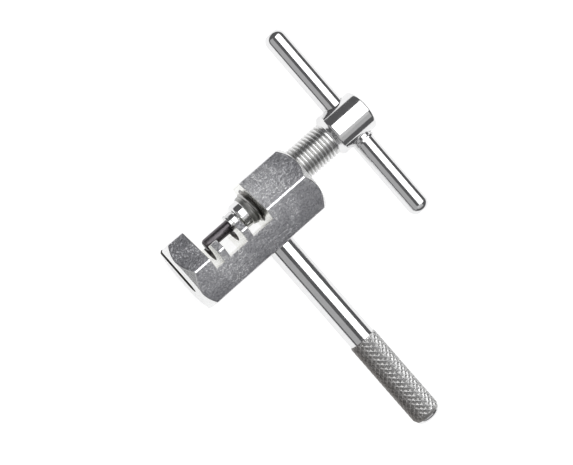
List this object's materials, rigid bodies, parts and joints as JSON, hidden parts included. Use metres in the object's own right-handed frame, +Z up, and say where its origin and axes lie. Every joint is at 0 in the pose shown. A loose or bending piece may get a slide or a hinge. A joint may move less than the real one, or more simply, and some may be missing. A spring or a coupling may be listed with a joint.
{
  "type": "chain tool",
  "caption": "Bicycle chain rivet tool: hexagonal steel body with a chain gap and two cradle ribs, knurled side handle, and a T-bar screw that drives a captive pin.",
  "frame": {"origin": "bottom centre of the tool's box, with the tool lying flat and one corner of its hexagon down", "axes": "+X along the spindle from the anvil to the T-bar head, +Y from the handle to the open side of the chain gap, +Z up through a corner of the hexagon"},
  "size_m": [0.0638, 0.101, 0.0217],
  "materials": {
    "body_nickel": "satin nickel plate over tumbled steel",
    "rod_nickel": "bright nickel plate",
    "spindle_nickel": "bright nickel plate",
    "pin_black": "black oxide, lightly oiled"
  },
  "bodies": {
    "frame": {"hex_body": "body_nickel", "handle": "rod_nickel"},
    "pin": {"driving_pin": "pin_black"},
    "spindle": {"spindle_screw": "spindle_nickel", "t_bar": "rod_nickel", "pin_retainer": "spindle_nickel"}
  },
  "joints": [
    {"name": "pin_advance", "type": "slide", "parent": "frame", "child": "pin", "axis": [-1, 0, 0], "range_m": [-0.0127, 0.00397]},
    {"name": "spindle_turn", "type": "hinge", "parent": "pin", "child": "spindle", "pos_m": [0.02655, 0.0205, 0.01083], "axis": [-1, 0, 0], "range_deg": [-4325, 1355]}
  ],
  "couplings": [
    {"joint": "spindle_turn", "follows": "pin_advance", "rad_per_m": 5936.9}
  ]
}
